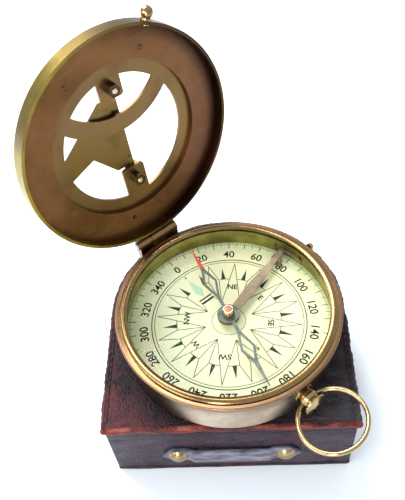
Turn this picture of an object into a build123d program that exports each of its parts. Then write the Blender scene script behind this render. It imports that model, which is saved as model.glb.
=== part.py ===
"""Pocket sundial compass standing on its leather carrying case, lid open, millimetres, +Z up.

The origin is the middle of the carrying case's underside. The instrument is drawn on the plane `case`,
whose origin is the middle of the drum's floor and whose Y points at the lid hinge. The lid is drawn on
the plane `lid`, which is `case` turned about the hinge axis by the opening angle, so that the same
heights serve both.
"""

import os
from math import cos, hypot, radians, sin, sqrt, tan

from build123d import *

os.makedirs("parts", exist_ok=True)

# ---------------------------------------------------------------- driving dimensions
# Carrying case
wrap_width = 86.0
wrap_depth = 91.0
wrap_height = 34.7
cover_board = 3.0
base_board = 2.5
gusset_leather = 2.0
gusset_inset = 1.4
spine_setback = 1.2
loop_width = 8.0
loop_leather = 1.6
loop_gap = 0.9
loop_half_length = 24.2
loop_rivet_reach = 18.5
loop_height = 15.0
rivet_head_radius = 3.4
rivet_crown = 1.7
rivet_shank_radius = 1.2

# Where the instrument stands on the case, and how it is turned
stand_x = 0.8
stand_y = -8.9
stand_turn = 38.7

# Drum
drum_radius = 36.8
drum_wall = 0.8
drum_floor = 1.2
drum_corner = 2.0
lip_overhang = 1.3
lip_bottom = 14.6
lip_top = 16.9
bezel_seat = 15.2
bezel_fit = 0.05

# Dial, glass and bezel
dial_height = 8.0
dial_plate_thickness = 1.0
card_thickness = 0.2
spacer_width = 2.8
liner_play = 0.1
liner_foot = 0.7
bezel_width = 2.75
bezel_top = 17.75
glass_bottom = 16.2
glass_thickness = 0.95

# Needle and its bearing
needle_height = 12.1
needle_thickness = 0.4
needle_north = 32.5
needle_south = 30.5
needle_turn = 75.5
hub_radius = 3.8
hub_bore = 1.7
kite_start = 8.0
kite_middle = 15.0
kite_end = 21.0
kite_half_width = 2.2
strand = 0.75
cap_radius = 2.1
cap_top_radius = 1.8
cap_top = 15.2
cap_bore = 0.7
jewel_radius = 1.4
jewel_bottom = 14.6
jewel_crown = 0.4
pivot_shank = 1.0
pivot_shoulder = 11.0
pivot_flange = 2.4
pivot_point_gap = 0.02

# Needle arrest
lever_turn = 15.5
lever_height = 10.6
lever_thickness = 0.5
lever_rise = 0.7
lever_eye_radius = 3.8
lever_eye_bore = 1.8
lever_root_width = 2.8
lever_width = 3.9
lever_widest = 15.0
lever_neck_width = 2.1
fulcrum_setback = 3.5
fulcrum_height = 10.25
fulcrum_pin_radius = 0.35
fulcrum_play = 0.05
fulcrum_knuckle = 0.8
cheek = 0.5
cheek_gap = 0.15
arm_width = 0.8
arm_setback = 1.2
arm_drop = 0.08
button_turn = 2.5
button_stem_radius = 0.8
button_play = 0.06
button_travel = 1.0
button_taper = 2.0
button_contact_gap = 0.03
button_head_clearance = 0.1
button_head_thickness = 1.3
button_head_width = 2.6
button_head_top = 16.1

# Pendant and bow
pendant_height = 8.7
pendant_stand = 2.5
pendant_roll = 8.7
pendant_shank = 1.2
pendant_collar = 3.6
pendant_neck = 2.3
pendant_knuckle = 3.0
pendant_cap = 4.1
pendant_length = 6.3
bow_radius = 10.7
bow_wire = 0.75
bow_rise = 5.6
bow_play = 0.05

# Hinge
hinge_stand = 2.3
hinge_height = 18.5
knuckle_radius = 1.9
knuckle_length = 5.4
knuckle_gap = 0.12
hinge_pin_radius = 0.8
hinge_pin_head = 1.5
hinge_play = 0.06
hinge_opening = 98.6
case_leaf_bottom = 8.0
case_leaf_thickness = 1.2
case_leaf_shelf = 13.4
case_leaf_shelf_top = 15.4
stop_gap = 0.03
stop_heel = 1.2
lid_leaf_thickness = 0.9
lid_leaf_half_width = 7.6
leaf_fixing_radius = 0.6
leaf_screw_head = 0.6
case_screw_spread = 5.0
lid_rivet_spread = 5.2

# Lid
lid_step = 0.5
lid_wall = 1.0
lid_seat_gap = 0.1
lid_top = 22.6
lid_corner = 0.6
hour_plate_thickness = 1.0
hour_opening = 21.7
ring_thickness = 1.45
ring_opening = 26.2
plate_play = 0.05
lug_half_width = 4.2
south_lug_end = 14.6
north_lug_end = 11.0
lug_corner = 1.2
lug_screw_south = 18.5
lug_screw_north = 15.2
arc_centre = 29.3
arc_inner = 20.5
arc_outer = 26.1
ring_rivet_reach = 29.6
ring_rivet_radius = 0.9
thumb_turn = -65.0
thumb_height = 18.85
thumb_shank = 0.7
thumb_collar = 1.7
thumb_neck = 1.15
thumb_ball = 1.95
thumb_length = 4.2

# Gnomon
gnomon_thickness = 0.9
gnomon_axis_x = 0.8
gnomon_lift = 1.0
gnomon_end_gap = 0.15
gnomon_heel = 0.85
gnomon_shoulder = 5.3
style_angle = 52.0
gnomon_reach = 30.8
gnomon_tip = 3.9
notch_reach = 12.6
notch_y = 2.6
gnomon_toe = 5.5
gnomon_pin_radius = 0.4
gnomon_pin_play = 0.05
gnomon_pin_length = 3.0
gnomon_barrel = 0.85
bracket_plate = 0.7
bracket_ear = 0.8
bracket_half_width = 2.2
screw_radius = 0.9
nut_flats = 3.8
nut_height = 3.0
screw_end = 0.4
screw_head_radius = 1.7
screw_head_height = 0.9

lip_radius = drum_radius + lip_overhang
hinge_reach = lip_radius + hinge_stand
lid_radius = lip_radius - lid_step

# ---------------------------------------------------------------- frames
case = Plane(
    origin=(stand_x, stand_y, wrap_height),
    x_dir=(cos(radians(stand_turn)), sin(radians(stand_turn)), 0),
    z_dir=(0, 0, 1),
)
hinge_line = case.location * Location((0, hinge_reach, hinge_height))
lid = Plane(
    hinge_line * Location((0, 0, 0), (-hinge_opening, 0, 0)) * Location((0, -hinge_reach, -hinge_height))
)

lid_mouth = lip_top + lid_seat_gap
plate_bottom = lid_top - hour_plate_thickness
ring_bottom = plate_bottom - ring_thickness
lid_inner_radius = lid_radius - lid_wall
drum_inner_radius = drum_radius - drum_wall
card_top = dial_height + card_thickness
liner_radius = drum_inner_radius - liner_play
bezel_outer_radius = drum_inner_radius + 0.65
bezel_rim_radius = bezel_outer_radius - 0.35
bezel_inner_radius = bezel_outer_radius - bezel_width
glass_radius = drum_inner_radius - 0.35
liner_top_radius = glass_radius
arm_outer_radius = drum_inner_radius - arm_setback
arm_inner_radius = arm_outer_radius - arm_width
fulcrum_reach = arm_inner_radius - fulcrum_setback
arm_top = lever_height + lever_rise + lever_thickness
button_height = arm_top + button_stem_radius - arm_drop
button_bore = button_stem_radius + button_play
button_head_inner = lip_radius + button_travel + button_head_clearance
pendant_reach = drum_radius + pendant_stand
gnomon_height = lid_top + gnomon_lift


def section(plane, turn=0.0):
    """The upright plane through the axis of `plane`: x is the radius, y is the height."""
    turned = plane.rotated((0, 0, turn))
    return Plane(origin=turned.origin, x_dir=turned.x_dir, z_dir=-turned.y_dir)


def spin_axis(plane):
    return Axis(plane.origin, plane.z_dir)


def radial(plane, turn, height=0.0):
    """`plane` turned so that x points outward at `turn`, raised to `height`."""
    return plane.rotated((0, 0, turn)).offset(height)


def place(plane, x=0.0, y=0.0, z=0.0, turn=0.0):
    """A location at polar angle `turn` on `plane`, with x measured outward from the axis."""
    return plane.location * Location((0, 0, 0), (0, 0, turn)) * Location((x, y, z))


def outward(plane, turn, reach, height):
    """A plane at `reach` from the axis whose normal points away from the axis."""
    spot = place(plane, reach, 0, height, turn)
    return Plane(spot * Location((0, 0, 0), (0, 90, 0)))


def profile(plane, *points):
    """A closed face from straight runs between the points."""
    with BuildSketch(plane, mode=Mode.PRIVATE) as face:
        with BuildLine():
            Polyline(*points, close=True)
        make_face()
    return face.sketch


def dome(radius, base, height):
    """A shallow spherical crown in an upright section, from its rim up to the axis."""
    return RadiusArc((radius, base), (0, base + height), -(radius**2 + height**2) / (2 * height))


def finish(piece, name):
    """Labels one finished piece and writes it as its own node."""
    piece.part.label = name
    export_step(piece.part, f"parts/{name}.step")


# ---------------------------------------------------------------- carrying case
end_radius = wrap_width / 2
side_top = wrap_height - cover_board
spine_front = -wrap_depth / 2 + spine_setback
spine_back = spine_front + gusset_leather


def round_ended(plane, inset):
    """Straight across the front, round at the back, drawn in by `inset`."""
    half = end_radius - inset
    front = -wrap_depth / 2 + inset
    round_start = wrap_depth / 2 - end_radius
    with BuildSketch(plane, mode=Mode.PRIVATE) as outline:
        with BuildLine():
            FilletPolyline(
                (-half, round_start), (-half, front), (half, front), (half, round_start), radius=1.0
            )
            CenterArc((0, round_start), half, 0, 180)
        make_face()
    return outline.sketch


def cover_board_piece():
    """Leather over board, with a rolled front edge that stands proud of the spine."""
    with BuildPart() as piece:
        extrude(round_ended(Plane.XY.offset(side_top), 0), cover_board)
        rim = piece.edges().group_by(Axis.Z)[-1]
        fillet(rim, 1.2)
        front_edge = piece.edges().group_by(Axis.Z)[0].filter_by(GeomType.LINE).sort_by(Axis.Y)[0]
        fillet(front_edge, 1.2)
    return piece


def base_board_piece():
    with BuildPart() as piece:
        extrude(round_ended(Plane.XY, 0.8), base_board)
        fillet(piece.edges().group_by(Axis.Z)[0], 0.8)
    return piece


def gusset_piece():
    """The side wall, one strip round the sides and the round end, open at the front."""
    floor = Plane.XY.offset(base_board)
    inner_half = end_radius - gusset_inset - gusset_leather
    with BuildPart() as piece:
        extrude(round_ended(floor, gusset_inset), side_top - base_board)
        inside = round_ended(floor, gusset_inset + gusset_leather)
        extrude(inside, side_top - base_board, mode=Mode.SUBTRACT)
        with Locations((0, spine_back - wrap_depth / 2, side_top / 2)):
            Box(2 * wrap_width, wrap_depth, 2 * side_top, mode=Mode.SUBTRACT)
            Box(2 * inner_half, wrap_depth + 2 * gusset_leather, 2 * side_top, mode=Mode.SUBTRACT)
    return piece


def spine_piece():
    """The straight front wall, drilled for the loop's two rivets."""
    half = end_radius - gusset_inset
    with BuildPart() as piece:
        with BuildSketch(Plane.XY.offset(base_board)):
            with Locations((0, (spine_front + spine_back) / 2)):
                Rectangle(2 * half, gusset_leather)
        extrude(amount=side_top - base_board)
        with Locations(*rivet_spots(spine_front)):
            Cylinder(rivet_shank_radius, 4 * gusset_leather, mode=Mode.SUBTRACT)
    return piece


def rivet_spots(y):
    """The two rivet axes, pointing out of the spine."""
    return [
        Location((side * loop_rivet_reach, y, loop_height), (90, 0, 0))
        for side in (-1, 1)
    ]


def carry_loop_piece():
    """A strap flat on the spine under its rivets and bowed out between them, its ends cut to points."""
    corner = 0.45 * loop_gap
    foot = loop_rivet_reach - rivet_head_radius - 1.5 * corner
    shoulder = foot - 2 * loop_gap
    out = spine_front - loop_gap
    tip = loop_half_length
    with BuildPart() as piece:
        with BuildSketch(Plane.XY.offset(loop_height - loop_width / 2)):
            with BuildLine():
                inner = FilletPolyline(
                    (-tip, spine_front), (-foot, spine_front), (-shoulder, out),
                    (shoulder, out), (foot, spine_front), (tip, spine_front), radius=corner,
                )
                outer = FilletPolyline(
                    (-tip, spine_front - loop_leather), (-foot - corner, spine_front - loop_leather),
                    (-shoulder - corner, out - loop_leather), (shoulder + corner, out - loop_leather),
                    (foot + corner, spine_front - loop_leather), (tip, spine_front - loop_leather),
                    radius=corner,
                )
                Line(inner @ 0, outer @ 0)
                Line(inner @ 1, outer @ 1)
            make_face()
        extrude(amount=loop_width)
        half = loop_width / 2
        point = tip - half
        extrude(
            profile(
                Plane.XZ.offset(-spine_front - 2 * loop_gap - loop_leather),
                (-tip, loop_height), (-point, loop_height - half), (point, loop_height - half),
                (tip, loop_height), (point, loop_height + half), (-point, loop_height + half),
            ),
            8 * loop_gap,
            both=True,
            mode=Mode.INTERSECT,
        )
        with Locations(*rivet_spots(spine_front)):
            Cylinder(rivet_shank_radius, 4 * loop_leather, mode=Mode.SUBTRACT)
    return piece


def loop_rivets_piece():
    """Two domed brass rivets, clenched behind the spine."""
    head = spine_front - loop_leather
    with BuildPart() as piece:
        for spot in rivet_spots(head):
            axis_plane = Plane(spot)
            with BuildSketch(section(axis_plane)):
                with BuildLine():
                    Line((0, rivet_crown), (0, -loop_leather - gusset_leather - 0.5))
                    Polyline(
                        (0, -loop_leather - gusset_leather - 0.5),
                        (2 * rivet_shank_radius, -loop_leather - gusset_leather - 0.5),
                        (2 * rivet_shank_radius, -loop_leather - gusset_leather),
                        (rivet_shank_radius, -loop_leather - gusset_leather),
                        (rivet_shank_radius, 0),
                        (rivet_head_radius, 0),
                    )
                    dome(rivet_head_radius, 0, rivet_crown)
                make_face()
            revolve(axis=spin_axis(axis_plane))
    return piece


# ---------------------------------------------------------------- drum and what it holds
def drum_piece():
    """A spun brass cup with a stepped lip: the bezel drops into the step."""
    with BuildPart() as piece:
        with BuildSketch(section(case)):
            with BuildLine():
                Polyline(
                    (drum_radius, drum_corner), (drum_radius, lip_bottom),
                    (lip_radius, bezel_seat), (lip_radius, lip_top),
                    (bezel_outer_radius + bezel_fit, lip_top),
                    (bezel_outer_radius + bezel_fit, bezel_seat),
                    (drum_inner_radius, bezel_seat), (drum_inner_radius, drum_floor),
                    (0, drum_floor), (0, 0), (drum_radius - drum_corner, 0),
                )
                RadiusArc((drum_radius - drum_corner, 0), (drum_radius, drum_corner), -drum_corner)
            make_face()
        revolve(axis=spin_axis(case))
        lip_edges = piece.edges().filter_by(GeomType.CIRCLE).group_by(SortBy.RADIUS)[-1]
        fillet(lip_edges, 0.5)
        bore(outward(case, button_turn, drum_radius, button_height), button_bore)
        bore(outward(case, -90, drum_radius, pendant_height), pendant_shank)
        for spot in leaf_screw_spots():
            bore(Plane(spot), leaf_fixing_radius)
    return piece


def bore(plane, radius, depth=4.0):
    """Drills the part that is open along the normal of `plane`, to `depth` either side of it."""
    with Locations(plane.location):
        Cylinder(radius, 2 * depth, mode=Mode.SUBTRACT)


def dial_spacer_piece():
    with BuildPart() as piece:
        with BuildSketch(case.offset(drum_floor)):
            Circle(liner_radius)
            Circle(liner_radius - spacer_width, mode=Mode.SUBTRACT)
        extrude(amount=dial_height - dial_plate_thickness - drum_floor)
    return piece


def dial_disc_piece(bottom, thickness):
    """A plain disc with the hole for the pivot post."""
    with BuildPart() as piece:
        with BuildSketch(case.offset(bottom)):
            Circle(liner_radius)
            Circle(pivot_shank, mode=Mode.SUBTRACT)
        extrude(amount=thickness)
    return piece


def sector(plane, inner, outer, start, end):
    """A flat ring sector between two angles."""
    with BuildSketch(plane, mode=Mode.PRIVATE) as shape:
        with BuildLine():
            rim = CenterArc((0, 0), outer, start, end - start)
            heart = CenterArc((0, 0), inner, start, end - start)
            Line(rim @ 0, heart @ 0)
            Line(rim @ 1, heart @ 1)
        make_face()
    return shape.sketch


def wall_liner_piece():
    """A tapered sleeve that holds the card down and carries the glass, with a pocket for the arrest arm."""
    pocket_bottom = lever_height - 1.0
    pocket_top = button_height + button_stem_radius + 0.4
    with BuildPart() as piece:
        revolve(
            profile(
                section(case),
                (liner_radius - liner_foot, card_top), (liner_radius, card_top),
                (liner_radius, bezel_seat), (liner_top_radius, bezel_seat),
                (liner_top_radius, glass_bottom), (bezel_inner_radius, glass_bottom),
            ),
            axis=spin_axis(case),
        )
        pocket = sector(
            case.offset(pocket_bottom), fulcrum_reach, arm_outer_radius + 0.4,
            button_turn - 4, lever_turn + 5,
        )
        extrude(pocket, pocket_top - pocket_bottom, mode=Mode.SUBTRACT)
        bore(outward(case, button_turn, liner_radius, button_height), button_bore)
    return piece


def glass_piece():
    with BuildPart() as piece:
        with BuildSketch(case.offset(glass_bottom)):
            Circle(glass_radius)
        extrude(amount=glass_thickness)
    return piece


def bezel_piece():
    """A ring pressed into the lip's step, its inner edge turned over the glass."""
    over = glass_bottom + glass_thickness
    inner = glass_radius + bezel_fit
    with BuildPart() as piece:
        with BuildSketch(section(case)):
            with BuildLine():
                Polyline(
                    (bezel_rim_radius, bezel_top - 0.6), (bezel_rim_radius, lip_top - 0.5),
                    (bezel_outer_radius, lip_top - 0.5), (bezel_outer_radius, bezel_seat),
                    (inner, bezel_seat), (inner, over), (bezel_inner_radius, over),
                    (bezel_inner_radius, bezel_top - 0.35),
                )
                Spline(
                    (bezel_inner_radius, bezel_top - 0.35), (bezel_inner_radius + 0.5, bezel_top - 0.08),
                    (bezel_rim_radius - 0.7, bezel_top), (bezel_rim_radius, bezel_top - 0.6),
                )
            make_face()
        revolve(axis=spin_axis(case))
    return piece


# ---------------------------------------------------------------- needle and bearing
def pivot_post_piece():
    """A steel point on a shank that passes up through the dial plate, held by its flange below."""
    plate_under = dial_height - dial_plate_thickness
    tip = jewel_bottom - pivot_point_gap
    with BuildPart() as piece:
        revolve(
            profile(
                section(case),
                (0, plate_under - 0.8), (pivot_flange, plate_under - 0.8), (pivot_flange, plate_under),
                (pivot_shank, plate_under), (pivot_shank, card_top + 0.6),
                (pivot_shank / 2, pivot_shoulder), (pivot_shank / 2, tip - 1.2), (0.06, tip), (0, tip),
            ),
            axis=spin_axis(case),
        )
    return piece


def needle_arm(side):
    """One arm of the needle: a plain shank, an open kite and a solid point. `side` is 1 for north."""
    reach = needle_north if side > 0 else needle_south
    half = kite_half_width + strand / 2
    return [
        (side * x, y)
        for x, y in [
            (hub_bore + 0.6, -strand * 0.75), (kite_start, -strand * 0.75), (kite_middle, -half),
            (kite_end, -strand), (reach, -0.12), (reach, 0.12), (kite_end, strand),
            (kite_middle, half), (kite_start, strand * 0.75), (hub_bore + 0.6, strand * 0.75),
        ]
    ]


def needle_window(side):
    """The opening inside one kite."""
    half = kite_half_width - strand / 2
    return [
        (side * (kite_start + 1.2), 0), (side * kite_middle, -half),
        (side * (kite_end - 1.2), 0), (side * kite_middle, half),
    ]


def needle_piece():
    """A flat steel needle with a ring hub, pierced kites and pointed ends."""
    flat = radial(case, needle_turn, needle_height)
    with BuildPart() as piece:
        with BuildSketch(flat):
            Circle(hub_radius)
        extrude(amount=needle_thickness)
        for side in (1, -1):
            extrude(profile(flat, *needle_arm(side)), needle_thickness)
            extrude(profile(flat, *needle_window(side)), needle_thickness, mode=Mode.SUBTRACT)
        with BuildSketch(flat):
            Circle(hub_bore)
        extrude(amount=needle_thickness, mode=Mode.SUBTRACT)
    return piece


def needle_cap_piece():
    """A turned brass cap whose spigot is spread into the hub; the jewel sits in its crown."""
    top_of_needle = needle_height + needle_thickness
    with BuildPart() as piece:
        revolve(
            profile(
                section(case),
                (cap_bore, needle_height - 0.15), (hub_bore, needle_height - 0.15),
                (hub_bore, top_of_needle), (cap_radius, top_of_needle),
                (cap_radius, top_of_needle + 0.5), (cap_top_radius, cap_top - 0.2),
                (cap_top_radius - 0.15, cap_top), (jewel_radius, cap_top),
                (jewel_radius, jewel_bottom), (cap_bore, jewel_bottom),
            ),
            axis=spin_axis(case),
        )
    return piece


def cap_jewel_piece():
    with BuildPart() as piece:
        with BuildSketch(section(case)):
            with BuildLine():
                Polyline((0, cap_top + jewel_crown), (0, jewel_bottom), (jewel_radius, jewel_bottom),
                         (jewel_radius, cap_top))
                dome(jewel_radius, cap_top, jewel_crown)
            make_face()
        revolve(axis=spin_axis(case))
    return piece


# ---------------------------------------------------------------- needle arrest
def arrest_lever_piece():
    """A brass strip with an eye under the needle, a knuckle near the rim and an arm inside the wall."""
    flat = radial(case, lever_turn, lever_height)
    root = lever_root_width / 2
    belly = lever_width / 2
    neck = lever_neck_width / 2
    rise_start = fulcrum_reach + fulcrum_knuckle + 0.3
    step = arm_top - lever_thickness
    with BuildPart() as piece:
        with BuildSketch(flat):
            Circle(lever_eye_radius)
        extrude(amount=lever_thickness)
        extrude(
            profile(
                flat, (lever_eye_radius - 1, -root), (lever_widest, -belly), (fulcrum_reach - 1, -neck),
                (rise_start, -neck), (rise_start, neck), (fulcrum_reach - 1, neck),
                (lever_widest, belly), (lever_eye_radius - 1, root),
            ),
            lever_thickness,
        )
        with BuildSketch(flat):
            Circle(lever_eye_bore)
        extrude(amount=lever_thickness, mode=Mode.SUBTRACT)
        extrude(
            profile(
                section(case, lever_turn), (rise_start - 0.4, lever_height),
                (arm_inner_radius, step), (arm_inner_radius + 0.3, step), (arm_inner_radius + 0.3, arm_top),
                (arm_inner_radius - 0.2, arm_top), (rise_start - 0.4, lever_height + lever_thickness),
            ),
            neck,
            both=True,
        )
        extrude(
            sector(case.offset(step), arm_inner_radius, arm_outer_radius, button_turn - 2, lever_turn + 1.5),
            lever_thickness,
        )
        with Locations(fulcrum_axis()):
            Cylinder(fulcrum_knuckle, 2 * neck)
            Cylinder(fulcrum_pin_radius + fulcrum_play, 4 * neck, mode=Mode.SUBTRACT)
    return piece


def fulcrum_axis():
    """The lever's pin, square to the lever and level."""
    return place(case, fulcrum_reach, 0, fulcrum_height, lever_turn) * Location((0, 0, 0), (90, 0, 0))


def fulcrum_bracket_piece():
    """Two cheeks on a foot, soldered to the dial, that carry the lever's pin."""
    reach = 1.3
    inner = lever_neck_width / 2 + cheek_gap
    foot = 0.4
    with BuildPart() as piece:
        extrude(
            profile(
                section(case, lever_turn),
                (fulcrum_reach - reach, card_top), (fulcrum_reach + reach, card_top),
                (fulcrum_reach + 0.7, fulcrum_height + 0.8), (fulcrum_reach - 0.7, fulcrum_height + 0.8),
            ),
            inner + cheek,
            both=True,
        )
        with Locations(place(case, fulcrum_reach, 0, card_top + foot + 5, lever_turn)):
            Box(4 * reach, 2 * inner, 10, mode=Mode.SUBTRACT)
        with Locations(fulcrum_axis()):
            Cylinder(fulcrum_pin_radius, 4 * inner, mode=Mode.SUBTRACT)
    return piece


def fulcrum_pin_piece():
    with BuildPart() as piece:
        with Locations(fulcrum_axis()):
            Cylinder(fulcrum_pin_radius, lever_neck_width + 2 * (cheek_gap + cheek) + 0.2)
    return piece


def arrest_button_piece():
    """A push stem through the wall: its taper rides on the arm, its thumb tab stands clear of the lip."""
    head = outward(case, button_turn, button_head_inner, button_height)
    taper_start = arm_outer_radius + button_travel
    slope = (arm_drop + button_contact_gap) / button_travel
    tip = button_stem_radius - slope * button_taper
    tab_bottom = button_height - button_head_width / 2
    with BuildPart() as piece:
        stem = section(head)
        inward = button_head_inner
        revolve(
            profile(
                stem, (0, 0.2), (button_stem_radius, 0.2), (button_stem_radius, taper_start - inward),
                (tip, taper_start - button_taper - inward), (0, taper_start - button_taper - inward),
            ),
            axis=spin_axis(head),
        )
        middle = (button_head_top + tab_bottom) / 2
        with BuildSketch(outward(case, button_turn, button_head_inner, middle)):
            SlotOverall(button_head_top - tab_bottom, button_head_width)
        extrude(amount=button_head_thickness)
        crown = piece.faces().sort_by(spin_axis(head))[-1]
        fillet(crown.edges(), 0.5)
    return piece


# ---------------------------------------------------------------- pendant and bow
bow_sag = pendant_knuckle**2 / (2 * bow_radius)
pendant_seat = outward(case, -90, drum_radius, pendant_height)
pendant_bore = bow_wire + bow_sag / 2 + bow_play


def bow_axis():
    """The axis the bow turns on, square to the pendant and rolled with it."""
    out = place(case, pendant_reach, 0, pendant_height, -90)
    return out * Location((0, 0, 0), (pendant_roll, 0, 0))


def pendant_piece():
    """Turned brass: a shank through the wall, a collar, a drilled knuckle and a flared end."""
    knuckle = pendant_reach - drum_radius
    with BuildPart() as piece:
        with BuildSketch(section(pendant_seat)):
            with BuildLine():
                Polyline(
                    (0, pendant_length), (0, -drum_wall + 0.02), (pendant_shank, -drum_wall + 0.02),
                    (pendant_shank, 0.02), (pendant_collar, 0.02), (pendant_collar, 0.7),
                    (pendant_neck, 1.0),
                )
                ThreePointArc(
                    (pendant_neck, 1.0), (pendant_knuckle, knuckle), (pendant_neck, 2 * knuckle - 1.0)
                )
                Polyline(
                    (pendant_neck, 2 * knuckle - 1.0), (pendant_cap, pendant_length - 1.1),
                    (pendant_cap, pendant_length - 0.6), (0.8, pendant_length), (0, pendant_length),
                )
            make_face()
        revolve(axis=spin_axis(pendant_seat))
        with Locations(bow_axis() * Location((0, 0, 0), (90, 0, 0))):
            Cylinder(pendant_bore, 4 * pendant_knuckle, mode=Mode.SUBTRACT)
    return piece


def bow_ring_piece():
    """A plain wire ring through the pendant, lying a little above level."""
    risen = bow_axis() * Location((0, 0, 0), (0, -bow_rise, 0))
    ring = Plane(risen * Location((bow_radius - bow_sag / 2, 0, 0)))
    with BuildPart() as piece:
        with Locations(ring.location):
            Torus(bow_radius, bow_wire)
    return piece


# ---------------------------------------------------------------- hinge
barrel_half = 1.5 * knuckle_length + knuckle_gap
leaf_back = hinge_reach - knuckle_radius + 0.15


def barrel(start, end, radius):
    """A cylinder along the hinge axis from `start` to `end`."""
    middle = (start + end) / 2
    return hinge_line * Location((middle, 0, 0), (0, 90, 0)), radius, end - start


def case_leaf_piece():
    """A saddle on the drum wall that steps out round the lip and carries the two outer knuckles."""
    side = section(case, 90)
    inner_end = knuckle_length / 2 + knuckle_gap
    with BuildPart() as piece:
        extrude(
            profile(
                side, (drum_radius - 2, case_leaf_bottom),
                (drum_radius + case_leaf_thickness, case_leaf_bottom),
                (drum_radius + case_leaf_thickness, case_leaf_shelf - 3),
                (hinge_reach + 0.9, case_leaf_shelf),
                (hinge_reach + 0.9, case_leaf_shelf_top), (leaf_back, case_leaf_shelf_top),
                (leaf_back, case_leaf_shelf_top - 1.0), (drum_radius - 2, case_leaf_shelf_top - 1.0),
            ),
            barrel_half,
            both=True,
        )
        for end in (-1, 1):
            middle = end * (inner_end + barrel_half) / 2
            width = barrel_half - inner_end
            with Locations(hinge_line * Location((middle, -0.1, -1.9))):
                Box(width, 2 * knuckle_radius - 0.5, 3.8)
            with Locations(hinge_line * Location((middle, 0, 0), (0, 90, 0))):
                Cylinder(knuckle_radius, width)
        with Locations(place(case, 0, 0, case_leaf_bottom)):
            Cylinder(drum_radius + 0.02, 40, mode=Mode.SUBTRACT)
        with Locations(hinge_line * Location((0, 0, 0), (0, 90, 0))):
            Cylinder(hinge_pin_radius, 4 * barrel_half, mode=Mode.SUBTRACT)
        for spot in leaf_screw_spots():
            bore(Plane(spot), leaf_fixing_radius)
    return piece


def leaf_screw_spots():
    """The two axes that fix the case leaf to the wall, square to the hinge."""
    return [
        case.location
        * Location((end * case_screw_spread, drum_radius, case_leaf_bottom + 1.2), (-90, 0, 0))
        for end in (-1, 1)
    ]


def hinge_pin_piece():
    """A straight pin with a flat head at its left end."""
    with BuildPart() as piece:
        with Locations(hinge_line * Location((0, 0, 0), (0, 90, 0))):
            Cylinder(hinge_pin_radius, 2 * barrel_half)
        with Locations(hinge_line * Location((-barrel_half - 0.3, 0, 0), (0, 90, 0))):
            Cylinder(hinge_pin_head, 0.6)
    return piece


def lid_leaf_piece():
    """The middle knuckle, its web, a curved leaf on the lid rim, and the heel that stops the lid."""
    half = knuckle_length / 2
    leaf_low = lid_mouth + 0.9
    leaf_high = lid_top - 1.0
    heel_bottom = case_leaf_shelf_top + stop_gap
    with BuildPart() as piece:
        extrude(
            profile(
                section(lid, 90), (lid_radius - 2, leaf_low), (lid_radius + lid_leaf_thickness, leaf_low),
                (lid_radius + lid_leaf_thickness, leaf_high), (lid_radius - 2, leaf_high),
            ),
            lid_leaf_half_width,
            both=True,
        )
        extrude(
            profile(
                section(lid, 90), (lid_radius - 2, leaf_low), (hinge_reach, hinge_height - 1.0),
                (hinge_reach, hinge_height + 1.9), (lid_radius - 2, leaf_high),
            ),
            half,
            both=True,
        )
        with Locations(hinge_line * Location((0, 0, 0), (0, 90, 0))):
            Cylinder(knuckle_radius, 2 * half)
        extrude(
            profile(
                section(case, 90), (hinge_reach - 0.5, heel_bottom),
                (hinge_reach - 0.5 + stop_heel, heel_bottom),
                (hinge_reach - 0.5 + stop_heel, hinge_height), (hinge_reach - 0.5, hinge_height),
            ),
            half,
            both=True,
        )
        with Locations(place(lid, 0, 0, lid_top)):
            Cylinder(lid_radius + 0.02, 40, mode=Mode.SUBTRACT)
        with Locations(hinge_line * Location((0, 0, 0), (0, 90, 0))):
            Cylinder(hinge_pin_radius + hinge_play, 4 * half, mode=Mode.SUBTRACT)
        for spot in lid_rivet_spots():
            bore(Plane(spot), leaf_fixing_radius)
    return piece


def lid_rivet_spots():
    """The two axes that fix the lid leaf to the rim."""
    return [
        lid.location
        * Location((end * lid_rivet_spread, lid_radius, (lid_mouth + lid_top) / 2), (-90, 0, 0))
        for end in (-1, 1)
    ]


def leaf_fixings_piece(spots, spread, wall_radius, wall, leaf, head):
    """Two fixings through a leaf and the wall behind it, cut off flush inside; no head leaves them flush."""
    inner = sqrt((wall_radius - wall) ** 2 - (spread - leaf_fixing_radius) ** 2) - wall_radius + 0.02
    with BuildPart() as piece:
        for spot in spots:
            with Locations(spot * Location((0, 0, (inner + leaf) / 2))):
                Cylinder(leaf_fixing_radius, leaf - inner)
            if head:
                with Locations(spot * Location((0, 0, leaf + head / 2))):
                    Cone(1.7 * leaf_fixing_radius, leaf_fixing_radius, head)
    return piece


# ---------------------------------------------------------------- lid
def lid_rim_piece():
    """The turned rim of the lid, rounded at its outer edge, bored for the thumb knob and the leaf."""
    with BuildPart() as piece:
        revolve(
            profile(
                section(lid), (lid_inner_radius, lid_mouth), (lid_radius, lid_mouth),
                (lid_radius, lid_top), (lid_inner_radius, lid_top),
            ),
            axis=spin_axis(lid),
        )
        outer = piece.edges().filter_by(GeomType.CIRCLE).group_by(SortBy.RADIUS)[-1]
        far = outer.sort_by(spin_axis(lid))[-1]
        fillet(far, lid_corner)
        bore(outward(lid, thumb_turn, lid_radius, thumb_height), thumb_shank)
        for spot in lid_rivet_spots():
            bore(Plane(spot), leaf_fixing_radius)
    return piece


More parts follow.
